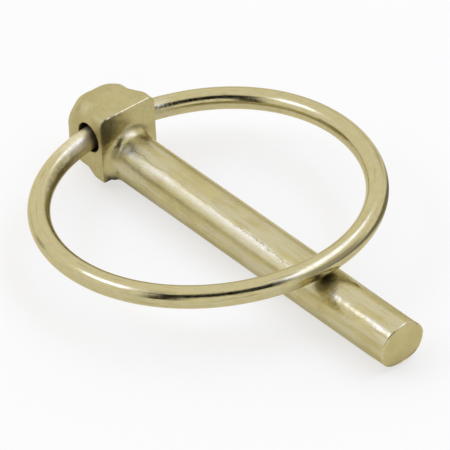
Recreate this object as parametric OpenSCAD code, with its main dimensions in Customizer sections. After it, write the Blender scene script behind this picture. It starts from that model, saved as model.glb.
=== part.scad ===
// Lynch pin: a forged steel pin with a square, domed head and a loose wire ring through the head.
// Millimetres. The origin is where the shank's axis meets the flat under-face of the head.
// +X runs along the shank to its tip, the cross hole lies along Y, and +Z is up.
// The pin lies on its shank and on the bottom of its head, level with it, with the ring on top.

/* [Shank] */
// Diameter of the round shank
shank_d = 11.1; // [9.5:0.1:12.5]
// Length from the under-face of the head to the middle of the tip
shank_len = 88.4; // [70:0.1:120]
// Angle by which the sheared tip is off square, longest at the top
tip_skew = 5; // [0:0.5:8]
// Rounding around the sheared tip
tip_round = 0.7; // [0.2:0.1:1]
// Radius of the fillet between shank and head
neck_r = 1.7; // [1:0.1:1.7]
// Radius of the fillet's lower corners, where it runs out at the edge of the under-face
neck_corner_r = 3.2; // [2:0.1:3.4]

/* [Head] */
// Width of the head's under-face, along the cross hole
head_w = 14.7; // [14:0.1:18]
// Height of the under-face above the shank's axis
head_top = 12; // [11.4:0.1:14]
// Depth of the under-face below the shank's axis
face_drop = 4.1; // [3:0.1:5]
// Radius of the two upper corners of the under-face
face_upper_r = 1.8; // [0.3:0.1:2.5]
// Radius of the two lower corners of the under-face
face_lower_r = 0.4; // [0.3:0.1:1.2]
// How far the rim of the under-face flares out past the sides
flare = 0.2; // [0:0.1:0.8]
// Thickness of the rim before it starts to fade into the sides
rim_len = 2.1; // [0.4:0.1:2.5]
// Distance behind the under-face at which the rim has faded into the sides
fade_len = 7; // [4:0.1:8]
// How far the top of the head rises from the rim to the dome
rise = 0.3; // [0:0.1:1]
// Radius of the long upper edges behind the rim
upper_edge_r = 4.8; // [2:0.1:5.5]
// Radius of the long lower edges behind the rim
lower_edge_r = 4.7; // [2:0.1:5.5]
// Radius of the upper edges where the dome ends, before the dome draws them in
dome_upper_r = 6.8; // [4.5:0.1:6.9]
// Radius of the lower edges where the dome ends, before the dome draws them in
dome_lower_r = 6; // [4.5:0.1:6.9]
// Length of the head, from the under-face to the peak of the dome
head_len = 14.6; // [12.5:0.1:19]
// Distance from the under-face at which the dome begins
dome_start = 9; // [7:0.1:11]
// Squareness of the dome's outline seen from the side, 2 for an ellipse
dome_power = 2; // [1.5:0.1:3]
// Squareness of the dome's outline seen from above, 2 for an ellipse
dome_side_power = 2.8; // [1.5:0.1:4]
// Height of the dome's peak, as a share of the head's height
dome_mid = 0.35; // [0.3:0.05:0.6]

/* [Cross hole] */
// Diameter of the hole through the head
hole_d = 6.75; // [6.75:0.05:7.2]
// Distance of the hole's axis behind the under-face
hole_back = 4.85; // [4.6:0.05:6]
// Height of the hole's axis above the shank's axis
hole_up = 5.3; // [4:0.1:6]

/* [Ring] */
// Diameter of the ring's wire
wire_d = 4.85; // [4:0.05:4.95]
// Mean radius of the ring, at the middle of its wire
ring_r = 35.45; // [30:0.05:40]
// Angle by which the ring lies askew in its loose hole, seen from above
ring_skew = 4.3; // [0:0.1:4.5]
// Angle by which the ring leans sideways in its loose hole
ring_lean = 1.2; // [0:0.1:1.5]
// How far the middle of the wire is pushed back from the middle of its hole
wire_push = 0.6; // [0.4:0.02:0.62]
// Gap between the ring's two ends, inside the head
end_gap = 0.8; // [0.4:0.1:2]
// Clearance between the closed ring and the shank under it
rest_gap = 0.8; // [0.3:0.05:1.2]

/* [Hidden] */
$fn = 96;

steel = [0.72, 0.68, 0.50];
shank_r = shank_d / 2;
wire_r = wire_d / 2;
half_w = head_w / 2;

// The shank's foot reaches this far into the head, and tapers by this much
shank_root = fade_len;
foot_taper = 0.4;
// The head is skinned this far past its under-face and then cut off flat
face_stock = 0.5;
// Points on each corner arc of a section through the head
corner_steps = 9;
// Sections along the straight part and along the dome
side_sections = 12;
dome_sections = 14;
// The dome ends in a small flat of this share of its size
dome_flat = 0.12;
// Height of the dome's peak above the shank's axis
dome_mid_z = mix(-shank_r, head_top, dome_mid);

function mix(a, b, t) = a + (b - a) * t;

// Smooth step from 0 at the under-face to 1 where the rim has faded into the sides
function settled(s) =
    s <= rim_len ? 0
    : s >= fade_len ? 1
    : (1 - cos(180 * (s - rim_len) / (fade_len - rim_len))) / 2;

// Half width, top and bottom of the head at a distance s behind the under-face
function side_at(s) = half_w - flare * settled(s);
function top_at(s) = head_top - flare * settled(s) + rise * sin(90 * min(1, s / dome_start));
function bottom_at(s) = -mix(face_drop, shank_r, settled(s));

// Size of the dome at a distance s, as a share of the head's section, for a given squareness
function dome_share(s, power) =
    s <= dome_start ? 1
    : mix(dome_flat, 1, pow(1 - pow((s - dome_start) / (head_len - dome_start), power), 1 / power));

// Points on a quarter circle about c, from angle a
function corner(c, r, a) = [for (i = [0:corner_steps])
    let (turn = a + 90 * i / corner_steps) c + r * [cos(turn), sin(turn)]];

// Section through the head as [y, z] points: a rectangle with rounded corners
function section(w, bottom, top, upper_r, lower_r) =
    let (most = min(w, (top - bottom) / 2) - 0.01, u = min(upper_r, most), l = min(lower_r, most))
    concat(
        corner([w - u, top - u], u, 0),
        corner([u - w, top - u], u, 90),
        corner([l - w, bottom + l], l, 180),
        corner([w - l, bottom + l], l, 270)
    );

// Section at a distance s behind the under-face, drawn in towards the middle of the dome
function placed(s) =
    let (
        across = dome_share(s, dome_side_power),
        upright = dome_share(s, dome_power),
        soft = settled(s),
        far = sqrt(max(0, s - dome_start) / (head_len - dome_start)),
        upper_r = mix(mix(face_upper_r, upper_edge_r, soft), dome_upper_r, far),
        lower_r = mix(mix(face_lower_r, lower_edge_r, soft), dome_lower_r, far),
        flat = section(side_at(s), bottom_at(s), top_at(s), upper_r, lower_r)
    )
    [for (p = flat) [-s, p[0] * across, dome_mid_z + (p[1] - dome_mid_z) * upright]];

// Solid skinned over a row of sections that all have the same number of points
module skin(sections) {
    n = len(sections[0]);
    last = len(sections) - 1;
    faces = concat(
        [[for (i = [n - 1:-1:0]) i]],
        [for (j = [0:last - 1], i = [0:n - 1])
            let (a = j * n + i, b = j * n + (i + 1) % n)
            each [[a, b, a + n], [b, b + n, a + n]]],
        [[for (i = [0:n - 1]) last * n + i]]
    );
    polyhedron(points = [for (s = sections) each s], faces = faces);
}

// Forged head: square at the flat under-face, rounded along its sides, domed behind
module head_form() {
    sides = [for (i = [0:side_sections]) dome_start * i / side_sections];
    dome = [for (i = [1:dome_sections])
        dome_start + (head_len - dome_start) * sin(90 * i / dome_sections)];
    intersection() {
        skin([for (s = concat([-face_stock], sides, dome)) placed(s)]);
        translate([-2 * head_len, -head_w, -2 * head_top])
            cube([2 * head_len, 2 * head_w, 4 * head_top]);
    }
}

// Round shank: a tapered foot inside the head, then one diameter to the sheared tip
module shank_form() {
    translate([-shank_root, 0, 0])
        rotate([0, 90, 0])
            cylinder(r1 = shank_r - foot_taper, r2 = shank_r, h = shank_root + neck_r);
    intersection() {
        translate([neck_r, 0, 0])
            rotate([0, 90, 0])
                cylinder(r = shank_r, h = shank_len + shank_d);
        tip_cap();
    }
}

// Envelope of the tip: a plane tilted by the skew, with a rounded rim, that widens behind the rim
module tip_cap() {
    far = shank_len + shank_d;
    translate([shank_len, 0, 0])
        rotate([0, 90 + tip_skew, 0])
            rotate_extrude() {
                translate([shank_r - tip_round, -tip_round])
                    intersection() {
                        circle(tip_round);
                        square(tip_round);
                    }
                polygon([[0, 0], [shank_r - tip_round, 0], [shank_r - tip_round, -tip_round],
                         [shank_r, -tip_round], [far, -far], [0, -far]]);
            }
}

// Concave fillet between shank and head, kept inside the outline of the under-face
module neck_fillet() {
    intersection() {
        rotate([0, 90, 0])
            rotate_extrude()
                difference() {
                    translate([shank_r - 1, -1]) square(neck_r + 1);
                    translate([shank_r + neck_r, neck_r]) circle(neck_r);
                }
        rotate([90, 0, 90])
            translate([0, 0, -2])
                linear_extrude(2 + neck_r)
                    polygon(section(half_w, -face_drop, head_top, face_upper_r, neck_corner_r));
    }
}

// Pin: head, fillet and shank are forged in one piece, and the cross hole is drilled through
module pin() {
    color(steel)
        difference() {
            union() {
                head_form();
                neck_fillet();
                shank_form();
            }
            translate([-hole_back, 0, hole_up])
                rotate([90, 0, 0])
                    cylinder(r = hole_d / 2, h = 2 * head_w, center = true);
        }
}

// Height that the ring's plane gains from the hole to the far side, where it lies on the shank
ring_rise = shank_r + wire_r + rest_gap - hole_up;
ring_tilt = asin(ring_rise / (2 * ring_r));
// Turn of the ring that the gap between its ends takes up
gap_angle = 2 * asin(end_gap / (2 * ring_r));

// Ring: its ends meet inside the cross hole, and its far side lies on the shank
module ring() {
    color(steel)
        translate([-hole_back, 0, hole_up])
            rotate([0, -ring_tilt, 0])
                translate([-wire_push, 0, 0])
                    rotate([ring_lean, 0, -ring_skew])
                        translate([ring_r, 0, 0])
                            rotate(180 + gap_angle / 2)
                                rotate_extrude(angle = 360 - gap_angle, $fn = 144)
                                    translate([ring_r, 0]) circle(wire_r, $fn = 48);
}

pin();
ring();
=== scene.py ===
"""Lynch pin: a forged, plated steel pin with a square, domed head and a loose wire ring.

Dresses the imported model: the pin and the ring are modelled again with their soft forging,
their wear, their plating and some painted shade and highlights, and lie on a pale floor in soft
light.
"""
import math

import bmesh
import bpy
from mathutils import Matrix, Vector


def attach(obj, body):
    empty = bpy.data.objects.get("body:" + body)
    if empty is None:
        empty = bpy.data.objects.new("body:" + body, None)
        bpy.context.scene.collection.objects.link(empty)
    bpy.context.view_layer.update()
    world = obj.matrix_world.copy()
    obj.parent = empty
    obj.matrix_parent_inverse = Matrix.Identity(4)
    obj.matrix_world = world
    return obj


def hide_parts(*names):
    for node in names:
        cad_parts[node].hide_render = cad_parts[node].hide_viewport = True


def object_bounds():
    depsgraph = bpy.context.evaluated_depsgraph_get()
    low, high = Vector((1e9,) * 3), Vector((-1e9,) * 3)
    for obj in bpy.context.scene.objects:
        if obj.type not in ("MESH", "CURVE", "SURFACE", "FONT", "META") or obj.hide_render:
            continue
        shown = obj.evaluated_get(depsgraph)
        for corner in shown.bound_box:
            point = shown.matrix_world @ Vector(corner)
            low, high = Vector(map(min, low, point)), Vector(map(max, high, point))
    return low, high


bl_info = {
    "name": "Lynch Pin",
    "version": (1, 0, 0),
    "blender": (4, 5, 0),
    "location": "3D View > Sidebar > Lynch Pin",
    "description": "Models a forged lynch pin with its wire ring, and a pale studio around it",
    "category": "Add Mesh",
}

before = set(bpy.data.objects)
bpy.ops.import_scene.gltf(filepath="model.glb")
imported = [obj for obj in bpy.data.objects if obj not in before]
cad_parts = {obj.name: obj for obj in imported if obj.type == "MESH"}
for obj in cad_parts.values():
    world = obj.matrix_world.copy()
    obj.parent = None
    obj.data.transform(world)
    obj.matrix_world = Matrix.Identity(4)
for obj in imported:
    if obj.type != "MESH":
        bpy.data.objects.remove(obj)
cad_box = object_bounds()

MM = 0.001


# ---------------------------------------------------------------- sizes and looks

def length(name, description, value, most=0.2):
    """A length property, given in millimetres."""
    return bpy.props.FloatProperty(
        name=name, description=description, default=value * MM,
        min=0.0, max=most, precision=5, unit="LENGTH", subtype="DISTANCE")


def share(name, description, value, most=1.0):
    """A plain number, mostly a share from 0 to 1."""
    return bpy.props.FloatProperty(
        name=name, description=description, default=value, min=0.0, max=most, precision=3)


def angle(name, description, degrees):
    """An angle property, given in degrees."""
    return bpy.props.FloatProperty(
        name=name, description=description, default=math.radians(degrees),
        precision=4, unit="ROTATION", subtype="ANGLE")


def point(name, description, metres):
    """A point or a shift, given in metres."""
    return bpy.props.FloatVectorProperty(
        name=name, description=description, default=metres, size=3, precision=5,
        unit="LENGTH", subtype="TRANSLATION")


def tint(name, description, rgb):
    """A colour in linear light."""
    return bpy.props.FloatVectorProperty(
        name=name, description=description, default=rgb, size=3, min=0.0, max=1.0,
        subtype="COLOR")


class PinSizes(bpy.types.PropertyGroup):
    shank_d: length("Shank diameter", "Diameter of the round shank", 11.1)
    shank_len: length("Shank length", "From the under-face to the middle of the tip", 88.36)
    tip_skew: angle("Tip skew", "How far the tip is off square, longest at the top", 5)
    tip_round: length("Tip rounding", "Rounding around the sheared tip", 0.3)
    neck_r: length("Neck fillet", "Fillet between shank and head", 2.4)
    head_w: length("Head width", "Width of the under-face, along the cross hole", 14.7)
    head_top: length("Head top", "Height of the under-face above the shank's axis", 12.0)
    face_drop: length("Face drop", "Depth of the under-face below the shank's axis", 4.1)
    face_upper_r: length("Upper face corners", "Radius of the two upper corners", 1.8)
    face_lower_r: length("Lower face corners", "Radius of the two lower corners", 0.4)
    flare: length("Flare", "How far the rim flares out past the sides", 0.2)
    rim_len: length("Rim", "Thickness of the rim before it fades", 2.1)
    fade_len: length("Fade", "Distance at which the rim has faded into the sides", 7.0)
    rise: length("Rise", "How far the top rises from the rim to the dome", 0.3)
    upper_edge_r: length("Upper edges", "Radius of the long upper edges", 4.8)
    lower_edge_r: length("Lower edges", "Radius of the long lower edges", 4.7)
    dome_upper_r: length("Upper dome edges", "Radius of the upper edges in the dome", 6.8)
    dome_lower_r: length("Lower dome edges", "Radius of the lower edges in the dome", 6.0)
    head_len: length("Head length", "From the under-face to the peak of the dome", 14.6)
    dome_start: length("Dome start", "Where the dome begins", 9.0)
    dome_power: share("Dome side squareness", "2 for an ellipse, seen from the side", 2.0, 4)
    dome_side_power: share("Dome top squareness", "2 for an ellipse, from above", 2.8, 4)
    dome_mid: share("Dome peak", "Height of the peak as a share of the head", 0.35)
    hole_d: length("Hole diameter", "Diameter of the cross hole", 6.65)
    hole_back: length("Hole setback", "Distance of the hole behind the under-face", 4.8)
    hole_up: length("Hole height", "Height of the hole above the shank's axis", 5.4)
    hole_lip: length("Hole lip", "Rounding at the mouths of the hole", 0.25)
    grain: length("Grain of the surface", "Size of the cells that the head is fused in", 0.17)


class RingSizes(bpy.types.PropertyGroup):
    wire_d: length("Wire diameter", "Diameter of the ring's wire", 4.85)
    ring_r: length("Ring radius", "Mean radius at the middle of the wire", 35.45)
    middle: point("Middle", "Middle of the ring as it lies on the shank",
                  (0.029513, -0.002226, 0.006523))
    tilt: angle("Tilt", "How far the far side is raised by the shank", 2.78)
    roll: angle("Roll", "How far the ring leans sideways in its hole", 1.25)
    end_gap: length("End gap", "Gap between the two ends in the hole", 0.8)
    end_turn: angle("End turn", "Where the ends meet, so that the hole hides them", 176.4)
    tuck: point("Tuck", "How far the ends are bent forwards and up to run in the hole",
                (0.0004, 0.0, 0.00045))
    tuck_turn: angle("Tuck turn", "How far from the ends the wire starts to be tucked", 24)


class PlatingLook(bpy.types.PropertyGroup):
    khaki: tint("Khaki", "Plating where it is clean", (0.535, 0.460, 0.213))
    olive: tint("Olive", "Plating where it is thick or stained", (0.475, 0.405, 0.177))
    # Also painted on as shade and dark reflections: inside the cross hole, under the neck, where
    # the ring lies on the shank and inside the wire near the hole
    tarnish_and_shade: tint("Tarnish", "Dark specks and smudges", (0.085, 0.07, 0.03))
    # Also painted on as highlights: on the neck, beside the seam, along the worn edges and on the
    # wire near the hole
    bare_and_highlight: tint("Bare", "Edges where the plating has worn bright", (0.82, 0.75, 0.52))
    pale: tint("Pale", "Plating where it is thin", (0.57, 0.515, 0.33))
    satin: share("Satin", "Roughness of the pin's plating", 0.31)
    matt: share("Matt", "Roughness of the forged head's plating", 0.52)
    gloss: share("Gloss", "Roughness of the wire's plating", 0.19)
    lacquer: share("Lacquer", "Weight of the clear film over the plating", 0.4)


class StudioLook(bpy.types.PropertyGroup):
    lens: bpy.props.FloatProperty(
        name="Lens", description="Focal length on a 36 mm wide sensor", default=479.95,
        unit="CAMERA")
    aim: point("Aim", "Point on the level of the shank's axis that the camera looks at",
               (0.032776, -0.000859, 0.0))
    distance: length("Distance", "From the aim to the camera", 1255.77, most=10.0)
    azimuth: angle("Azimuth", "Compass angle of the camera, from +X towards +Y", -38.103)
    elevation: angle("Elevation", "Angle of the camera above the level", 37.234)
    roll: angle("Roll", "How far the camera is turned about its line of sight", -2.573)
    floor: tint("Floor", "Colour of the floor as it lights the object", (0.88, 0.86, 0.82))
    floor_shown: tint("Floor, shown", "Colour of the floor as it is seen", (0.352, 0.343, 0.300))
    glow: share("Floor glow", "Light added to the floor as it is seen", 0.63)
    tent: share("Tent", "Light of the white walls around the object", 1.03, 3)


# ---------------------------------------------------------------- working by hand

ALONG_X = (0, math.pi / 2, 0)       # turns of a new disc or cylinder
ALONG_Y = (math.pi / 2, 0, 0)


def mix(a, b, t):
    return a + (b - a) * t


def only(obj):
    """Leaves obj as the one selected and active object."""
    bpy.ops.object.select_all(action="DESELECT")
    obj.select_set(True)
    bpy.context.view_layer.objects.active = obj


def edit(obj):
    """Opens obj for editing, with nothing selected, and returns its mesh."""
    only(obj)
    bpy.ops.object.mode_set(mode="EDIT")
    bpy.ops.mesh.select_mode(type="VERT")
    bpy.ops.mesh.select_all(action="DESELECT")
    return bmesh.from_edit_mesh(obj.data)


def done():
    """Closes the object that is being edited, and returns it."""
    bpy.ops.object.mode_set(mode="OBJECT")
    return bpy.context.object


def pick(obj, test):
    """Selects the vertices of obj that pass the test, and what lies between them."""
    bpy.ops.mesh.select_all(action="DESELECT")
    bm = bmesh.from_edit_mesh(obj.data)
    for v in bm.verts:
        v.select = bool(test(v.co))
    bm.select_flush(True)
    bmesh.update_edit_mesh(obj.data)


def swap_selection(bm, old, new):
    """Deselects the old vertices and selects the new ones with all that lies between them."""
    for v in old:
        v.select = False
    for v in new:
        v.select = True
    bm.select_flush_mode()


def extrude(along):
    bpy.ops.mesh.extrude_region_move(TRANSFORM_OT_translate={"value": along})


def face_outwards():
    """Turns all faces of the edited mesh outwards."""
    bpy.ops.mesh.select_all(action="SELECT")
    bpy.ops.mesh.normals_make_consistent(inside=False)


def skin_sections():
    """Joins the loops of the edited mesh in a row and closes both ends."""
    bpy.ops.mesh.select_all(action="SELECT")
    bpy.ops.mesh.bridge_edge_loops()
    bpy.ops.mesh.select_all(action="SELECT")
    bpy.ops.mesh.fill_holes(sides=0)
    face_outwards()


def new_object(name):
    """The object that a primitive has just made, under its own name."""
    obj = bpy.context.object
    obj.name = obj.data.name = name
    return obj


def new_empty_mesh(name):
    """An object with nothing in its mesh, open for editing."""
    bpy.ops.mesh.primitive_circle_add(vertices=3, radius=MM)
    obj = new_object(name)
    edit(obj)
    bpy.ops.mesh.select_all(action="SELECT")
    bpy.ops.mesh.delete(type="VERT")
    return obj


def new_disc(name, sides, radius, middle, turn):
    """A flat round face, open for editing with all of it selected."""
    bpy.ops.mesh.primitive_circle_add(
        vertices=sides, radius=radius, fill_type="NGON", location=middle, rotation=turn)
    obj = new_object(name)
    settle(obj)
    edit(obj)
    bpy.ops.mesh.select_all(action="SELECT")
    return obj


def new_bar(name, sides, radius, long, middle, turn):
    """A closed round bar."""
    bpy.ops.mesh.primitive_cylinder_add(
        vertices=sides, radius=radius, depth=long, location=middle, rotation=turn)
    obj = new_object(name)
    settle(obj)
    return obj


def settle(obj):
    """Applies the object's place to its mesh, so that it stands at the origin."""
    only(obj)
    bpy.ops.object.transform_apply(location=True, rotation=True, scale=True)


def apply(obj, mod):
    only(obj)
    bpy.ops.object.modifier_apply(modifier=mod.name)


def join_shape(obj, other, how):
    """Adds, cuts or intersects another closed shape, which is used up."""
    mod = obj.modifiers.new(how, "BOOLEAN")
    mod.operation, mod.solver, mod.object = how, "MANIFOLD", other
    apply(obj, mod)
    bpy.data.objects.remove(other)


# ---------------------------------------------------------------- head

CORNER_POINTS = 22      # on each corner of a section
CORNER_ROOM = 0.01 * MM     # left between two corners where they all but meet
SIDE_SECTIONS = 22
DOME_SECTIONS = 24
DOME_FLAT = 0.12        # the small flat at the dome's peak, as a share of the dome


def settled(p, s):
    """Smooth step from 0 at the under-face to 1 where the rim has faded."""
    if s <= p.rim_len:
        return 0.0
    if s >= p.fade_len:
        return 1.0
    return (1 - math.cos(math.pi * (s - p.rim_len) / (p.fade_len - p.rim_len))) / 2


def dome_share(p, s, power):
    """Size of the dome at a distance s behind the under-face, as a share of the head's."""
    if s <= p.dome_start:
        return 1.0
    reach = min(1.0, (s - p.dome_start) / (p.head_len - p.dome_start))
    return mix(DOME_FLAT, 1.0, (1 - reach ** power) ** (1 / power))


def add_section(obj, place_x, half_w, bottom, top, upper_r, lower_r):
    """A circle in edit mode, its four quarters pulled apart into a rounded rectangle."""
    most = min(half_w, (top - bottom) / 2) - CORNER_ROOM
    middle = (place_x, 0, 0)
    bpy.ops.mesh.primitive_circle_add(
        vertices=4 * CORNER_POINTS, radius=MM, fill_type="NOTHING", location=middle,
        rotation=ALONG_X)
    bm = bmesh.from_edit_mesh(obj.data)
    ring = [v for v in bm.verts if v.select]
    bpy.ops.transform.rotate(
        value=math.pi / (4 * CORNER_POINTS), orient_axis="X", center_override=middle)
    quarters = {}
    for v in ring:
        quarters.setdefault((v.co.y > 0, v.co.z > 0), []).append(v)
    for (right, up), quarter in quarters.items():
        r = min(upper_r if up else lower_r, most)
        swap_selection(bm, ring, quarter)
        bpy.ops.transform.resize(value=(1, r / MM, r / MM), center_override=middle)
        bpy.ops.transform.translate(value=(
            0, half_w - r if right else r - half_w, top - r if up else bottom + r))
    swap_selection(bm, [], ring)


def make_head(p):
    """The forged head: square at the under-face, rounded along its sides, domed behind."""
    half_w, shank_r = p.head_w / 2, p.shank_d / 2
    dome_len = p.head_len - p.dome_start
    mid_z = mix(-shank_r, p.head_top, p.dome_mid)
    stations = [p.dome_start * i / SIDE_SECTIONS for i in range(SIDE_SECTIONS + 1)]
    stations += [p.dome_start + dome_len * math.sin(math.pi / 2 * i / DOME_SECTIONS)
                 for i in range(1, DOME_SECTIONS + 1)]
    head = new_empty_mesh("head")
    for s in stations:
        soft = settled(p, s)
        far = math.sqrt(max(0.0, s - p.dome_start) / dome_len)
        rise = p.rise * math.sin(math.pi / 2 * min(1.0, s / p.dome_start))
        add_section(
            head, -s, half_w - p.flare * soft,
            -mix(p.face_drop, shank_r, soft),
            p.head_top - p.flare * soft + rise,
            mix(mix(p.face_upper_r, p.upper_edge_r, soft), p.dome_upper_r, far),
            mix(mix(p.face_lower_r, p.lower_edge_r, soft), p.dome_lower_r, far))
        bpy.ops.transform.resize(
            value=(1, dome_share(p, s, p.dome_side_power), dome_share(p, s, p.dome_power)),
            center_override=(-s, 0, mid_z))
    skin_sections()
    return done()


NECK_SIDES, NECK_STEPS = 160, 12
NECK_ROOT = 2 * MM      # the neck starts this far inside the head


def make_neck(p):
    """The fillet between shank and head, kept inside the outline of the under-face."""
    shank_r = p.shank_d / 2
    size, x = shank_r + p.neck_r, -NECK_ROOT
    neck = new_disc("neck", NECK_SIDES, size, (x, 0, 0), ALONG_X)
    profile = [(0.0, size)]
    for i in range(1, NECK_STEPS + 1):
        turn = math.pi / 2 * i / NECK_STEPS
        profile.append((p.neck_r * (1 - math.cos(turn)),
                        shank_r + p.neck_r * (1 - math.sin(turn))))
    for to_x, to_size in profile:
        extrude((to_x - x, 0, 0))
        bpy.ops.transform.resize(
            value=(1, to_size / size, to_size / size), center_override=(to_x, 0, 0))
        x, size = to_x, to_size
    face_outwards()
    done()
    outline = new_empty_mesh("outline")
    for x in (-NECK_ROOT - MM, p.neck_r + MM):
        add_section(outline, x, p.head_w / 2, -p.face_drop, p.head_top,
                    p.face_upper_r, p.lower_edge_r)
    skin_sections()
    join_shape(neck, done(), "INTERSECT")
    return neck


HOLE_SIDES = 128
FADED_AT_HOLE = 0.6     # share of the flare that has faded where the hole comes out
MOUTH_LEN, MOUTH_GROWTH = 3 * MM, 1.5       # the tool beyond the mouths, clear of the head


def make_hole_tool(p):
    """The cross hole as a solid, a little wider at its two mouths."""
    r, lip, side = p.hole_d / 2, p.hole_lip, p.head_w / 2 - p.flare * FADED_AT_HOLE
    tool = new_bar("hole", HOLE_SIDES, r, 2 * (side - lip),
                   (-p.hole_back, 0, p.hole_up), ALONG_Y)
    for way in (-1, 1):
        edit(tool)
        pick(tool, lambda co: co.y * way > 0)
        for reach, growth, to_y in ((lip, 1 + lip / r, side),
                                    (MOUTH_LEN, MOUTH_GROWTH, side + MOUTH_LEN)):
            extrude((0, way * reach, 0))
            bpy.ops.transform.resize(
                value=[growth] * 3, center_override=(-p.hole_back, way * to_y, p.hole_up))
        done()
    return tool


STUB_SIDES = 256
STUB_LEN, STUB_MIDDLE = 15 * MM, 0.5 * MM       # the start of the shank, through the neck
SOFTEN_SHARE, SOFTEN_TIMES = 0.5, 6
CUT_TOLERANCE = 0.1 * MM


def make_pin(p):
    """Head, neck and shank in one piece, cut off at the neck and drawn out to the tip."""
    pin = make_head(p)
    join_shape(pin, make_neck(p), "UNION")
    stub = new_bar("stub", STUB_SIDES, p.shank_d / 2, STUB_LEN, (STUB_MIDDLE, 0, 0), ALONG_X)
    join_shape(pin, stub, "UNION")
    join_shape(pin, make_hole_tool(p), "DIFFERENCE")
    pin.name = pin.data.name = "forged_pin"

    fuse = pin.modifiers.new("Fuse", "REMESH")
    fuse.mode, fuse.voxel_size = "VOXEL", p.grain
    apply(pin, fuse)
    soften = pin.modifiers.new("Soften", "SMOOTH")
    soften.factor, soften.iterations = SOFTEN_SHARE, SOFTEN_TIMES
    apply(pin, soften)
    if max(abs(v.co.y) for v in pin.data.vertices) > p.head_w / 2 + CUT_TOLERANCE:
        raise RuntimeError("the cross hole was not cut cleanly")
    true_up_shank(pin, p)
    for mark in HAMMER_MARKS:
        press(pin, *mark)
    draw_out_shank(pin, p)
    for mark in SHEAR_MARKS:
        press(pin, *mark)
    return pin


# Where the forging is uneven: (place, push, reach around it), in mm
HAMMER_MARKS = (
    ((-9.4, -6.0, 10.1), (0.02, 0.03, -0.03), 2.2),
    ((-12.1, -3.2, 10.3), (-0.14, -0.14, 0.18), 3.0),
    ((-7.0, 0.0, 12.1), (0.0, 0.0, 0.06), 5.0),
    ((-6.0, 5.2, 11.5), (0.0, 0.05, 0.23), 2.6),
    ((-0.1, -7.2, 11.4), (-0.06, 0.05, -0.06), 0.8),
    ((-0.1, -6.7, 10.2), (-0.10, 0.0, 0.0), 0.6),
    ((0.74, -4.1, 4.65), (-0.03, 0.0, -0.02), 0.6),
    ((0.6, -5.5, -3.4), (0.0, -0.1, -0.45), 1.5),
    ((2.4, 2.7, 4.9), (0.0, -0.04, -0.09), 0.8),
)

# Where the shears rolled the tip over as they cut it off, in the same order
SHEAR_MARKS = (
    ((87.6, 0.0, -5.5), (0.0, -0.3, 1.05), 7.5),
    ((88.4, 5.4, 1.2), (0.0, 0.22, 0.1), 3.4),
)


def press(obj, spot, push, reach):
    """Pushes the skin nearest to the spot, fading out around it, as with a hammer."""
    bm = edit(obj)
    spot = Vector(spot) * MM
    near = min(bm.verts, key=lambda v: (v.co - spot).length_squared)
    swap_selection(bm, [], [near])
    bpy.ops.transform.translate(
        value=Vector(push) * MM, use_proportional_edit=True, use_proportional_connected=True,
        proportional_edit_falloff="SMOOTH", proportional_size=reach * MM)
    done()


BAR_SIDES, BAR_LEN = 720, 40 * MM
TRUE_START, TRUE_FADE = 0.1 * MM, 0.5 * MM      # past the neck, where the clean skin begins
CUT_PAST_NECK = 1.6 * MM


def true_up_shank(pin, p):
    """Lays the skin beyond the neck on a clean cylinder."""
    bar = new_bar("bar", BAR_SIDES, p.shank_d / 2, BAR_LEN, (0, 0, 0), ALONG_X)
    round_part = pin.vertex_groups.new(name="round_part")
    for v in pin.data.vertices:
        weight = (v.co.x - p.neck_r - TRUE_START) / TRUE_FADE
        if weight > 0:
            round_part.add([v.index], min(1.0, weight), "REPLACE")
    wrap = pin.modifiers.new("True up", "SHRINKWRAP")
    wrap.target, wrap.wrap_method, wrap.vertex_group = bar, "NEAREST_SURFACEPOINT", "round_part"
    apply(pin, wrap)
    pin.vertex_groups.clear()
    bpy.data.objects.remove(bar)


TIP_LEN, LOOPS = 9 * MM, 20     # the last stretch, and the loops on it and on the rest
ROUNDING_LOOPS, LEAN_LOOPS = 6, 3       # around the tip's rim, and those that lean over
TIP_LOOPS = (0.94, 0.85, 0.72, 0.58, 0.44, 0.3, 0.16, 0.05)     # sizes on the sheared face
SAME_PLACE = 1e-7       # metres


def draw_out_shank(pin, p):
    """Cuts the stub off square and extrudes its edge to the tip, which is sheared askew."""
    shank_r, start = p.shank_d / 2, p.neck_r + CUT_PAST_NECK
    edit(pin)
    bpy.ops.mesh.select_all(action="SELECT")
    bpy.ops.mesh.bisect(
        plane_co=(start, 0, 0), plane_no=(1, 0, 0), clear_outer=True, threshold=SAME_PLACE)
    pick(pin, lambda co: co.x > start - 10 * SAME_PLACE)
    x = start
    for to_x in (p.shank_len - TIP_LEN, p.shank_len - p.tip_round):
        for _ in range(LOOPS):
            extrude(((to_x - x) / LOOPS, 0, 0))
        x = to_x
    # From here the loops lean over to the skew of the tip and are drawn in
    lean, size = 0.0, shank_r
    for i in range(1, ROUNDING_LOOPS + 1):
        turn = math.pi / 2 * i / ROUNDING_LOOPS
        to_x = p.shank_len - p.tip_round * (1 - math.sin(turn))
        to_lean = p.tip_skew * min(1.0, i / LEAN_LOOPS)
        to_size = shank_r - p.tip_round * (1 - math.cos(turn))
        extrude((to_x - x, 0, 0))
        middle = Vector((to_x, 0, 0))
        bpy.ops.transform.rotate(value=lean - to_lean, orient_axis="Y", center_override=middle)
        bpy.ops.transform.resize(value=[to_size / size] * 3, center_override=middle)
        x, lean, size = to_x, to_lean, to_size
    for tip_share in TIP_LOOPS:
        to_size = tip_share * (shank_r - p.tip_round)
        extrude((0, 0, 0))
        bpy.ops.transform.resize(value=[to_size / size] * 3, center_override=middle)
        size = to_size
    bpy.ops.mesh.edge_face_add()
    face_outwards()
    done()
    bpy.ops.object.shade_smooth()


# ---------------------------------------------------------------- ring

# How far the wire is out of round: (times per turn, cosine share, sine share), in mm
OUT_OF_ROUND = ((2, -0.098, 0.0), (3, 0.287, 0.085), (4, -0.033, 0.102))
WIRE_SIDES, WIRE_STEPS = 48, 288
WRAP_ROOM = 0.001       # radians by which a point may lie before the start of the wire


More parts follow.
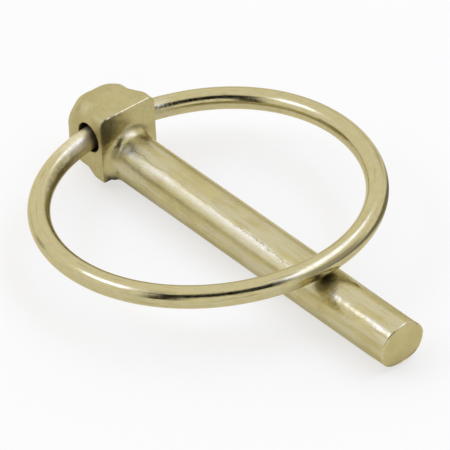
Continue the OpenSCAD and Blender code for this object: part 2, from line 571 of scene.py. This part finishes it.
def out_of_round(phi):
    return MM * sum(a * math.cos(k * phi) + b * math.sin(k * phi) for k, a, b in OUT_OF_ROUND)


def make_ring(p):
    """Round wire spun once around, then pushed out of round, its ends in the hole."""
    half_gap = math.asin(p.end_gap / (2 * p.ring_r))
    start, reach = p.end_turn + half_gap, 2 * (math.pi - half_gap)
    ring = new_disc("wire_ring", WIRE_SIDES, p.wire_d / 2,
                    (p.ring_r * math.cos(start), p.ring_r * math.sin(start), 0),
                    (math.pi / 2, 0, start))
    bpy.ops.mesh.spin(
        steps=WIRE_STEPS, dupli=False, angle=-reach, center=(0, 0, 0), axis=(0, 0, 1))
    bpy.ops.mesh.select_all(action="SELECT")
    bpy.ops.mesh.remove_doubles(threshold=SAME_PLACE)
    bpy.ops.mesh.normals_make_consistent(inside=False)
    mark_wire(ring, p)
    bm = bmesh.from_edit_mesh(ring.data)
    slices = {}
    for v in bm.verts:
        turned = (math.atan2(v.co.y, v.co.x) - start + WRAP_ROOM) % (2 * math.pi) - WRAP_ROOM
        slices.setdefault(round(turned / reach * WIRE_STEPS), []).append(v)
    if len(slices) != WIRE_STEPS + 1:
        raise RuntimeError(f"the ring has {len(slices)} sections, and not {WIRE_STEPS + 1}")
    bpy.ops.mesh.select_all(action="DESELECT")
    last = []
    for k, wire in sorted(slices.items()):
        phi = start + reach * k / WIRE_STEPS
        swap_selection(bm, last, wire)
        last = wire
        push = out_of_round(phi)
        from_end = min(k, WIRE_STEPS - k) * reach / WIRE_STEPS
        tuck = math.cos(math.pi / 2 * min(1.0, from_end / p.tuck_turn)) ** 2
        bpy.ops.transform.translate(value=(
            push * math.cos(phi) + p.tuck[0] * tuck, push * math.sin(phi), p.tuck[2] * tuck))
    done()
    ring.matrix_world = (Matrix.Translation(p.middle) @ Matrix.Rotation(-p.tilt, 4, "Y")
                         @ Matrix.Rotation(p.roll, 4, "X"))
    settle(ring)
    bpy.ops.object.shade_smooth()
    return ring


def mark_wire(ring, p):
    """Gives each point its place on the straight wire: outwards, upwards and along it."""
    bm = bmesh.from_edit_mesh(ring.data)
    spot = bm.verts.layers.float_vector.new("along_wire")
    for v in bm.verts:
        phi = math.atan2(v.co.y, v.co.x)
        v[spot] = (math.hypot(v.co.x, v.co.y) - p.ring_r, v.co.z, phi * p.ring_r)
    bmesh.update_edit_mesh(ring.data)


# ---------------------------------------------------------------- finishes

class Graph:
    """Nodes of one material or world, added and wired in one line each."""

    def __init__(self, owner):
        owner.use_nodes = True
        self.tree = owner.node_tree
        self.tree.nodes.clear()

    def add(self, kind, settings=None, **sockets):
        """A node with its settings; a socket goes by its name, or by i and its number."""
        node = self.tree.nodes.new(kind)
        for name, value in (settings or {}).items():
            setattr(node, name, value)
        for name, value in sockets.items():
            key = int(name[1:]) if name[0] == "i" and name[1:].isdigit() else name.replace("_", " ")
            socket = node.inputs[key]
            if isinstance(value, bpy.types.NodeSocket):
                self.tree.links.new(value, socket)
            else:
                socket.default_value = value
        return node

    def split(self, vector):
        """The three parts of a vector."""
        return self.add("ShaderNodeSeparateXYZ", Vector=vector).outputs[:]

    def vector(self, how, a, b=(0, 0, 0), c=(0, 0, 0)):
        """A vector worked out from others, or the number if that is what comes of them."""
        node = self.add("ShaderNodeVectorMath", {"operation": how}, i0=a, i1=b, i2=c)
        is_number = how in ("LENGTH", "DISTANCE", "DOT_PRODUCT")
        return node.outputs["Value" if is_number else "Vector"]

    def math(self, how, a, b=0.0):
        return self.add("ShaderNodeMath", {"operation": how}, i0=a, i1=b).outputs[0]

    def product(self, first, *others):
        for other in others:
            first = self.math("MULTIPLY", first, other)
        return first

    def off(self, value, middle):
        """How far a value lies from the middle, to either side."""
        return self.math("ABSOLUTE", self.math("SUBTRACT", value, middle))

    def ramp(self, value, low, high, to_low=0.0, to_high=1.0):
        """A smooth step between two values."""
        return self.add("ShaderNodeMapRange", {"interpolation_type": "SMOOTHSTEP"}, Value=value,
                        From_Min=low, From_Max=high, To_Min=to_low,
                        To_Max=to_high).outputs["Result"]

    def noise(self, where, size, detail=3.0, rough=0.5, distortion=0.0):
        """Noise from 0 to 1 whose spots are about so many metres wide."""
        return self.add("ShaderNodeTexNoise", Vector=where, Scale=1 / size, Detail=detail,
                        Roughness=rough, Distortion=distortion).outputs["Fac"]

    def near(self, where, spot, core, reach):
        """1 around a spot, fading out to 0 between the core and the reach, all in mm."""
        away = self.vector("DISTANCE", where, [v * MM for v in spot])
        return self.ramp(away, core * MM, reach * MM, 1, 0)

    def egg(self, where, middle, half, turn=0):
        """0 in the middle of an egg, 1 at its skin: mm, with a turn about X in degrees."""
        inside = self.add("ShaderNodeMapping", {"vector_type": "TEXTURE"}, Vector=where,
                          Location=[v * MM for v in middle], Scale=[v * MM for v in half],
                          Rotation=(math.radians(turn), 0, 0)).outputs[0]
        return self.vector("LENGTH", inside)

    def blend(self, factor, a, b):
        node = self.add("ShaderNodeMix", {"data_type": "RGBA"}, i0=factor, i6=a, i7=b)
        return node.outputs[2]


def rgba(colour):
    return (colour[0], colour[1], colour[2], 1.0)


EDGE_ON = (0.86, 0.79, 0.52, 1.0)       # plating seen edge-on reflects less, and yellower


class Plating(Graph):
    """A plated finish, in which one colour after another is laid over the khaki."""

    def __init__(self, name, look):
        self.material = bpy.data.materials.new(name)
        super().__init__(self.material)
        self.look, self.colour = look, rgba(look.khaki)

    def lay(self, amount, colour):
        """Lays a colour over what is there, by an amount from 0 to 1."""
        self.colour = self.blend(amount, self.colour, rgba(colour))

    def finish(self, rough, film, bumps):
        """Metal under a thin clear film, with bumps given as pairs of (pattern, height in mm)."""
        under = {}
        for pattern, height in bumps:
            normal = self.add("ShaderNodeBump", Height=pattern, Distance=height * MM,
                              Strength=1.0, **under).outputs["Normal"]
            under = {"Normal": normal}
        shader = self.add("ShaderNodeBsdfPrincipled", Base_Color=self.colour, Roughness=rough,
                          Normal=normal, Metallic=1.0, Specular_Tint=EDGE_ON,
                          Coat_Weight=self.look.lacquer, Coat_Roughness=film, Coat_IOR=1.5,
                          Coat_Normal=normal)
        self.add("ShaderNodeOutputMaterial", Surface=shader.outputs[0])
        return self.material


# Smudges on the pin, and painted shade and dark reflections, in mm and degrees: (place, half size,
# turn about X, strength, raggedness)
SMUDGES_AND_PAINTED_SHADE = (
    # Painted dark reflection on the under-face, below its upper corner
    ((0.0, -7.0, 9.4), (0.5, 6.3, 6.3), 0, 0.80, 0.9),
    ((0.0, -7.25, 4.5), (0.3, 0.25, 9.0), 0, 0.55, 0.8),
    ((-0.1, -6.75, 10.5), (0.5, 0.4, 1.0), 0, 0.95, 0.9),
    # The crease at the neck, a forging fold, painted darker as the dark reflection in it
    ((0.70, -4.05, 4.65), (0.6, 1.0, 0.15), 39, 0.45, 0.5),
    ((0.45, -3.2, 5.8), (0.4, 0.14, 0.6), 0, 0.5, 0.5),
    # Painted shade over the fillet's bright streak beside the crease
    ((1.35, -4.5, 3.5), (0.5, 1.5, 0.35), 47, 0.18, 0.4),
    # Painted shade under the neck, where it turns down to the floor
    ((0.8, -5.4, -4.2), (2.6, 2.4, 2.8), 0, 1.0, 0.3),
    # Painted shadow where the ring lies on the shank
    ((66.6, -2.2, 4.9), (3.7, 4.4, 2.2), 0, 0.70, 0.6),
    ((71.8, 2.2, 5.1), (1.3, 0.5, 0.5), 0, 0.6, 1.0),
    ((88.6, -2.7, 4.6), (0.5, 1.1, 0.2), 30, 0.6, 0.6),
    ((-9.4, -6.0, 10.1), (1.2, 1.2, 1.2), 0, 0.2, 1.5),
    ((3.6, 1.6, 5.3), (1.5, 1.0, 0.6), 0, 0.4, 1.3),
)

# Painted highlights and rougher places on the neck: (place, reach, brightness, dullness), in mm
NECK_HIGHLIGHTS_AND_ROUGHNESS = (
    # Painted highlight on top of the neck
    ((0.7, -0.4, 6.3), 2.2, 0.42, 0.04),
    # Painted light where the head hides the lamp from the shank's top, and rougher there
    ((3.0, -3.1, 4.6), 1.7, 0.4, 0.28),
    ((1.35, -4.6, 3.4), 1.7, 0.0, 0.3),
)
NECK_SPOT_CORE = 0.3       # mm

SMUDGE_AND_SHADE_EDGE = 0.35      # where a smudge and painted shade start to fade, as a share of their size
REFLECTED_SQUIGGLES = (2.4, 2.9, 4.9)     # painted dark reflections on top of the neck, in mm
SEAM_SIDE, SEAM_DRIFT = 2.3 * MM, 0.019     # from the middle towards -Y, and more along X
SEAM_FAINT = 26 * MM    # along the shank


def lay_seam(g, place, mottle, drawn):
    """A crooked seam along the shank with its dark edge, a paler band beside it as a painted
    highlight, and the step there.
    """
    x, y, z = g.split(place)
    wander = g.math("ADD", g.ramp(g.noise(x, 7 * MM, 2), 0.2, 0.8, -0.35 * MM, 0.35 * MM),
                    g.ramp(g.noise(x, 0.9 * MM, 3), 0.2, 0.8, -0.16 * MM, 0.16 * MM))
    past = g.math("SUBTRACT", g.math("SUBTRACT", -SEAM_SIDE, y), g.product(x, SEAM_DRIFT))
    past = g.math("ADD", past, wander)
    on_top = g.product(g.ramp(z, 2.5 * MM, 3.2 * MM), g.ramp(x, 2.2 * MM, 3.4 * MM),
                       g.ramp(x, 58 * MM, 64 * MM, 1, 0.4))
    dark = g.product(g.ramp(g.math("ABSOLUTE", past), 0.05 * MM, 0.16 * MM, 1, 0), on_top,
                     g.ramp(mottle, 0.4, 0.6),
                     g.ramp(g.off(x, SEAM_FAINT), 8 * MM, 20 * MM, 0.15, 0.5))
    # Painted highlight: a paler band beside the seam
    highlight_band = g.product(g.ramp(past, 0, 0.2 * MM), g.ramp(past, 0.7 * MM, 2.3 * MM, 1, 0), on_top,
                     g.ramp(drawn, 0.25, 0.6, 0.3, 1))
    g.lay(g.product(highlight_band, 0.36), g.look.bare_and_highlight)
    g.lay(dark, g.look.tarnish_and_shade)
    return g.product(on_top, g.ramp(past, -0.15 * MM, 0.15 * MM))


def lay_smudges_and_shade(g, place, mottle):
    """Dark smudges, painted shade and painted dark reflections, with ragged edges."""
    scratched = g.add("ShaderNodeMapping", Vector=place, Rotation=(math.radians(-35), 0, 0),
                      Scale=(1, 0.2, 1)).outputs[0]
    scratched = g.noise(scratched, 0.6 * MM, 3, 0.6)
    rag = g.math("SUBTRACT", g.math("ADD", mottle, scratched), 1.0)
    for middle, half, turn, strength, ragged in SMUDGES_AND_PAINTED_SHADE:
        away = g.math("ADD", g.egg(place, middle, half, turn), g.product(rag, ragged))
        g.lay(g.ramp(away, SMUDGE_AND_SHADE_EDGE, 1.0, strength, 0), g.look.tarnish_and_shade)


def lay_reflected_squiggles(g, place):
    """Thin dark squiggles painted where the neck meets the top of the shank, as reflections in the
    fillet.
    """
    squiggly = g.off(g.noise(place, 0.9 * MM, 1, 0.5, 1.5), 0.5)
    g.lay(g.product(g.ramp(squiggly, 0.01, 0.045, 0.35, 0), g.near(place, REFLECTED_SQUIGGLES, 1.2, 2.4)),
          g.look.tarnish_and_shade)


def lay_neck_highlights(g, place):
    """Painted highlights on the neck, and how much rougher each place is made."""
    dull = 0.0
    for spot, reach, brightness, dullness in NECK_HIGHLIGHTS_AND_ROUGHNESS:
        near = g.near(place, spot, NECK_SPOT_CORE, reach)
        g.lay(g.product(near, brightness), g.look.bare_and_highlight)
        dull = g.math("ADD", dull, g.product(near, dullness))
    return dull


def forged_finish(look, p):
    """Satin plating over a forged skin: soft waves, fine grain, specks, smudges and worn edges,
    with painted shade, dark reflections and highlights.
    """
    g = Plating("forged_khaki_plating", look)
    place = g.add("ShaderNodeTexCoord").outputs["Object"]
    x, _, z = g.split(place)
    shank_r, hole_r = p.shank_d / 2, p.hole_d / 2
    lengthwise = g.vector("MULTIPLY", place, (0.12, 1, 1))
    waves = g.noise(place, 5 * MM, 2)
    mottle = g.noise(place, 1.1 * MM, 4, 0.6)
    grain = g.noise(place, 0.22 * MM, 3, 0.6)
    specks = g.noise(place, 0.5 * MM, 2, 0.5)
    drawn = g.noise(lengthwise, 0.45 * MM, 3, 0.6)
    clouds = g.noise(lengthwise, 1.6 * MM, 3, 0.6)
    past_tip = g.math("SUBTRACT", x, g.product(z, math.tan(p.tip_skew)))
    sheared = g.ramp(past_tip, p.shank_len - 0.16 * MM, p.shank_len - 0.06 * MM)
    shank = g.product(g.ramp(x, 0.5 * MM, 3 * MM), g.math("SUBTRACT", 1.0, sheared))
    g.lay(g.ramp(waves, 0.35, 0.7), look.olive)
    g.lay(g.ramp(mottle, 0.45, 0.75, 0, 0.5), look.olive)
    g.lay(g.product(shank, g.ramp(clouds, 0.42, 0.62, 0, 0.85)), look.pale)
    g.lay(g.product(shank, g.ramp(drawn, 0.55, 0.8, 0, 0.5)), look.olive)
    g.lay(g.ramp(specks, 0.68, 0.76, 0, 0.6), look.tarnish_and_shade)
    step = lay_seam(g, place, mottle, drawn)
    lay_smudges_and_shade(g, place, mottle)
    lay_reflected_squiggles(g, place)
    dull = lay_neck_highlights(g, place)
    # Painted shade inside the cross hole
    around = g.vector("MULTIPLY_ADD", place, (1, 0, 1), (p.hole_back, 0, -p.hole_up))
    g.lay(g.ramp(g.vector("LENGTH", around), hole_r + 0.075 * MM, hole_r + 0.175 * MM, 0.9, 0),
          look.tarnish_and_shade)
    # The head is duller than the shank
    head = g.ramp(x, -0.6 * MM, 0.3 * MM, 1, 0)
    rough = g.ramp(mottle, 0.3, 0.7, -0.05, 0.07)
    rough = g.math("ADD", rough, g.ramp(head, 0, 1, look.satin, look.matt))
    rough = g.math("ADD", rough, dull)
    # The top edge of the under-face and the rim of the tip are worn smoother, and painted lighter
    # as the highlights along them
    patchy = g.ramp(mottle, 0.4, 0.55)
    edge = g.product(g.ramp(x, -0.35 * MM, -0.2 * MM),
                     g.ramp(z, p.head_top - 0.4 * MM, p.head_top - 0.25 * MM), patchy)
    rough = g.math("SUBTRACT", rough, g.product(edge, 0.2))
    g.lay(g.product(edge, 0.35), look.bare_and_highlight)
    from_axis = g.vector("LENGTH", g.vector("MULTIPLY", place, (0, 1, 1)))
    rim = g.product(g.ramp(from_axis, shank_r - 0.35 * MM, shank_r - 0.2 * MM), sheared, patchy)
    g.lay(g.product(rim, 0.35), look.bare_and_highlight)
    # Beyond the ring the shank is smoother
    rough = g.math("SUBTRACT", rough, g.ramp(x, 67 * MM, 73 * MM, 0, 0.14))
    return g.finish(rough, 0.3, ((waves, 0.10), (mottle, 0.02), (drawn, 0.011), (step, 0.007),
                                 (grain, 0.005)))


# Places on the wire as (outwards, upwards, along it), in mm from the point across the hole
SCRAPE, SCRAPE_HALF = (2.05, 1.25, -66.6), (0.9, 0.6, 4.4)
BURNT_ALONG, BURNT_HALF = 97 * MM, 5 * MM
BURNT_LINE = 1.5 * MM       # upwards
INSIDE_SHADE_START, INSIDE_SHADE_END = -98 * MM, -44 * MM
DULL_START, DULL_FULL = 92 * MM, 102 * MM       # along the wire, towards either end


def wire_finish(look):
    """Brighter plating over drawn wire, with fine marks along it."""
    g = Plating("drawn_khaki_plating", look)
    wire = g.add("ShaderNodeAttribute", {"attribute_name": "along_wire"}).outputs["Vector"]
    out, up, along = g.split(wire)
    lengthwise = g.vector("MULTIPLY", wire, (1, 1, 0.07))
    marks = g.noise(lengthwise, 0.35 * MM, 3, 0.6)
    streaks = g.noise(lengthwise, 0.8 * MM, 2, 0.6)
    mottle = g.noise(wire, 1.6 * MM, 4, 0.6)
    specks = g.noise(wire, 0.5 * MM, 3, 0.6)
    g.lay(g.ramp(mottle, 0.4, 0.75), look.olive)
    g.lay(g.ramp(marks, 0.3, 0.7, 0.1, 0.55), look.pale)
    g.lay(g.ramp(streaks, 0.58, 0.75, 0, 0.33), look.tarnish_and_shade)
    g.lay(g.ramp(specks, 0.70, 0.78, 0, 0.6), look.tarnish_and_shade)
    # Burnt specks on the inside of the wire where it leaves the far mouth of the hole
    burnt = g.product(g.ramp(g.off(along, BURNT_ALONG), 3 * MM, BURNT_HALF, 1, 0),
                      g.ramp(out, 0, 0.5 * MM, 1, 0),
                      g.ramp(g.off(up, BURNT_LINE), 0.2 * MM, 0.4 * MM, 1, 0),
                      g.ramp(specks, 0.45, 0.52))
    g.lay(g.product(burnt, 0.9), look.tarnish_and_shade)
    # Painted shade: the inside of the wire is darker towards the near mouth
    inside_shade = g.product(g.ramp(out, -2.1 * MM, -0.9 * MM, 0.8, 0),
                     g.ramp(along, INSIDE_SHADE_START, INSIDE_SHADE_END, 1, 0),
                     g.ramp(mottle, 0.3, 0.6, 0.6, 1))
    g.lay(inside_shade, look.tarnish_and_shade)
    # A tarnished scrape on the outside of the wire
    away = g.math("ADD", g.egg(wire, SCRAPE, SCRAPE_HALF), g.math("SUBTRACT", streaks, 0.5))
    g.lay(g.ramp(away, 0.3, 1.0, 0.5, 0), look.tarnish_and_shade)
    # Near the hole the wire is duller, and painted pale on the near side as a broad highlight
    near_hole = g.ramp(g.math("ABSOLUTE", along), DULL_START, DULL_FULL)
    pale = g.product(near_hole, g.ramp(along, -10 * MM, 10 * MM, 1, 0.15))
    g.lay(g.product(pale, g.ramp(mottle, 0.35, 0.7, 0.8, 0.5)), look.bare_and_highlight)
    rough = g.ramp(mottle, 0.3, 0.7, look.gloss - 0.05, look.gloss + 0.06)
    rough = g.math("ADD", rough, g.product(near_hole, 0.20))
    return g.finish(rough, 0.1, ((mottle, 0.02), (streaks, 0.015), (marks, 0.014)))


# ---------------------------------------------------------------- studio

SENSOR_WIDE = 36.0      # mm
FLOOR_WIDE = 6.0        # metres
FLOOR_SHADE_MIDDLE = 38 * MM    # of the shade beside the pin, along the shank
LAMP_AWAY = 1.2         # metres
LAMP_AIM = Vector((0.03, 0, 0))

# Patches of the tent, in degrees: (azimuth, elevation, half width, half height, soft edge,
# share of the walls' light)
TENT = (
    (-37, 45, 33, 17, 5, 0.0),
    (-69, 11, 10, 20, 6, 0.0),
    (35, 8, 24, 24, 20, 0.45),
    (-125, -3, 42, 8, 8, 0.9),
    (130, 5, 24, 12, 12, 0.8),
)

# Lamps, in degrees: (name, azimuth, elevation, width and height as seen from the part,
# light, colour)
LAMPS = (
    ("key", -125, 47, 30, 19, 1.45, (1.0, 1.2, 2.6)),
    ("fill", 62, 59, 76, 19, 1.05, (1.0, 1.18, 2.5)),
)


def way_to(azimuth, elevation):
    """Unit vector towards a compass angle from +X and a height above the level, in degrees."""
    az, el = math.radians(azimuth), math.radians(elevation)
    return Vector((math.cos(el) * math.cos(az), math.cos(el) * math.sin(az), math.sin(el)))


def facing(way):
    """The turn that points an object's own Z that way and keeps its X level."""
    side = Vector((0, 0, 1)).cross(way).normalized()
    return Matrix((side, way.cross(side), way)).transposed()


def make_camera(look):
    camera = bpy.data.cameras.new("camera")
    camera.lens, camera.sensor_width = look.lens, SENSOR_WIDE
    obj = bpy.data.objects.new("camera", camera)
    bpy.context.scene.collection.objects.link(obj)
    back = way_to(math.degrees(look.azimuth), math.degrees(look.elevation))
    turn = facing(back) @ Matrix.Rotation(look.roll, 3, "Z")
    eye = Vector(look.aim) + look.distance * back
    obj.matrix_world = Matrix.Translation(eye) @ turn.to_4x4()
    bpy.context.scene.camera = obj


def make_floor(look):
    """A floor that lights the part in one colour and is seen, and reflected, in another."""
    bpy.ops.mesh.primitive_plane_add(size=FLOOR_WIDE, location=(0, 0, cad_box[0][2]))
    floor = new_object("floor")
    settle(floor)
    mat = bpy.data.materials.new("pale_floor")
    g = Graph(mat)
    ray = g.add("ShaderNodeLightPath").outputs
    plain = g.add("ShaderNodeBsdfDiffuse", Color=rgba(look.floor)).outputs[0]
    # To glossy rays the floor is in shade beyond the ring and close beside the pin
    x, y, _ = g.split(g.add("ShaderNodeTexCoord").outputs["Object"])
    beyond = g.product(g.ramp(y, 30 * MM, 48 * MM, 0, 0.75), g.ramp(x, 15 * MM, 45 * MM))
    beside = g.product(g.ramp(y, 4 * MM, 9 * MM, 1, 0), g.ramp(x, 4 * MM, 16 * MM, 0.45, 0.2),
                       g.ramp(y, -10 * MM, -5 * MM),
                       g.ramp(g.off(x, FLOOR_SHADE_MIDDLE), 48 * MM, 54 * MM, 1, 0))
    shade = g.product(ray["Is Glossy Ray"], g.math("MAXIMUM", beyond, beside))
    pale = g.blend(shade, rgba(look.floor_shown), (0, 0, 0, 1))
    pale = g.add("ShaderNodeBsdfDiffuse", Color=pale).outputs[0]
    glow = g.product(look.glow, g.math("SUBTRACT", 1.0, shade))
    glow = g.add("ShaderNodeEmission", Color=(1, 1, 1, 1), Strength=glow).outputs[0]
    shown = g.add("ShaderNodeAddShader", i0=pale, i1=glow).outputs[0]
    seen = g.math("MAXIMUM", ray["Is Camera Ray"], ray["Is Glossy Ray"])
    surface = g.add("ShaderNodeMixShader", i0=seen, i1=plain, i2=shown).outputs[0]
    g.add("ShaderNodeOutputMaterial", Surface=surface)
    floor.data.materials.append(mat)


def make_sky(look):
    """White walls all around, with the black and grey patches that the metal reflects."""
    world = bpy.data.worlds.new("white_tent")
    bpy.context.scene.world = world
    g = Graph(world)
    way = g.add("ShaderNodeTexCoord").outputs["Generated"]
    walls = look.tent
    for azimuth, elevation, wide, high, soft, light in TENT:
        side, over, middle = facing(way_to(azimuth, elevation)).transposed()
        spans = [
            g.ramp(g.math("ABSOLUTE", g.vector("DOT_PRODUCT", way, axis)),
                   math.sin(math.radians(half - soft / 2)),
                   math.sin(math.radians(half + soft / 2)), 1, 0)
            for axis, half in ((side, wide), (over, high))]
        inside = g.product(*spans, g.ramp(g.vector("DOT_PRODUCT", way, middle), 0, 0.2))
        walls = g.product(walls, g.math("SUBTRACT", 1.0, g.product(inside, 1 - light)))
    lit = g.add("ShaderNodeBackground", Color=(1, 1, 1, 1), Strength=walls).outputs[0]
    plain = g.add("ShaderNodeBackground", Color=(1, 1, 1, 1), Strength=1.0).outputs[0]
    seen = g.add("ShaderNodeLightPath").outputs["Is Camera Ray"]
    shown = g.add("ShaderNodeMixShader", i0=seen, i1=lit, i2=plain).outputs[0]
    g.add("ShaderNodeOutputWorld", Surface=shown)


def make_lamp(name, azimuth, elevation, wide, high, light, colour):
    """A soft oval lamp, so many degrees wide and high, whose power grows with its area."""
    lamp = bpy.data.lights.new(name, "AREA")
    lamp.shape, lamp.color = "ELLIPSE", colour
    lamp.size = 2 * LAMP_AWAY * math.tan(math.radians(wide / 2))
    lamp.size_y = 2 * LAMP_AWAY * math.tan(math.radians(high / 2))
    lamp.energy = light * math.pi * math.pi / 4 * lamp.size * lamp.size_y
    obj = bpy.data.objects.new(name, lamp)
    bpy.context.scene.collection.objects.link(obj)
    way = way_to(azimuth, elevation)
    obj.matrix_world = (Matrix.Translation(LAMP_AIM + LAMP_AWAY * way)
                        @ facing(way).to_4x4())


# ---------------------------------------------------------------- operators and panel

class LYNCH_OT_forged_pin(bpy.types.Operator):
    """Models the forged pin with its cross hole and gives it its satin plating"""
    bl_idname = "lynch.forged_pin"
    bl_label = "Forged Pin"
    bl_options = {"REGISTER", "UNDO"}

    def execute(self, context):
        scene = context.scene
        pin = make_pin(scene.lynch_pin)
        pin.data.materials.clear()      # the cuts have left an empty slot
        pin.data.materials.append(forged_finish(scene.lynch_plating, scene.lynch_pin))
        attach(pin, "pin")
        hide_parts("pin")
        return {"FINISHED"}


class LYNCH_OT_wire_ring(bpy.types.Operator):
    """Bends the wire ring, lays it in the cross hole and gives it its brighter plating"""
    bl_idname = "lynch.wire_ring"
    bl_label = "Wire Ring"
    bl_options = {"REGISTER", "UNDO"}

    def execute(self, context):
        scene = context.scene
        ring = make_ring(scene.lynch_ring)
        ring.data.materials.append(wire_finish(scene.lynch_plating))
        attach(ring, "ring")
        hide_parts("ring")
        return {"FINISHED"}


class LYNCH_OT_studio(bpy.types.Operator):
    """Sets up the pale floor, the soft light and the camera"""
    bl_idname = "lynch.studio"
    bl_label = "Studio"
    bl_options = {"REGISTER", "UNDO"}

    def execute(self, context):
        look = context.scene.lynch_studio
        context.scene.view_settings.view_transform = "Standard"
        make_camera(look)
        make_floor(look)
        make_sky(look)
        for lamp in LAMPS:
            make_lamp(*lamp)
        return {"FINISHED"}


class LYNCH_PT_panel(bpy.types.Panel):
    """Lists the lynch pin's pieces and their sizes"""
    bl_idname = "LYNCH_PT_panel"
    bl_label = "Lynch Pin"
    bl_space_type = "VIEW_3D"
    bl_region_type = "UI"
    bl_category = "Lynch Pin"

    def draw(self, context):
        for operator, group in STEPS:
            column = self.layout.box().column(align=True)
            column.operator(operator)
            sizes = getattr(context.scene, group)
            for name in sizes.__annotations__:
                column.prop(sizes, name)
        column = self.layout.box().column(align=True)
        for name in PlatingLook.__annotations__:
            column.prop(context.scene.lynch_plating, name)


STEPS = (("lynch.forged_pin", "lynch_pin"), ("lynch.wire_ring", "lynch_ring"),
         ("lynch.studio", "lynch_studio"))
GROUPS = {"lynch_pin": PinSizes, "lynch_ring": RingSizes, "lynch_plating": PlatingLook,
          "lynch_studio": StudioLook}
CLASSES = (PinSizes, RingSizes, PlatingLook, StudioLook, LYNCH_OT_forged_pin,
           LYNCH_OT_wire_ring, LYNCH_OT_studio, LYNCH_PT_panel)


def register():
    for cls in CLASSES:
        bpy.utils.register_class(cls)
    for name, group in GROUPS.items():
        setattr(bpy.types.Scene, name, bpy.props.PointerProperty(type=group))


def unregister():
    for name in GROUPS:
        delattr(bpy.types.Scene, name)
    for cls in reversed(CLASSES):
        bpy.utils.unregister_class(cls)


def main():
    register()
    bpy.ops.lynch.forged_pin()
    bpy.ops.lynch.wire_ring()
    bpy.ops.lynch.studio()


if __name__ == "__main__":
    main()
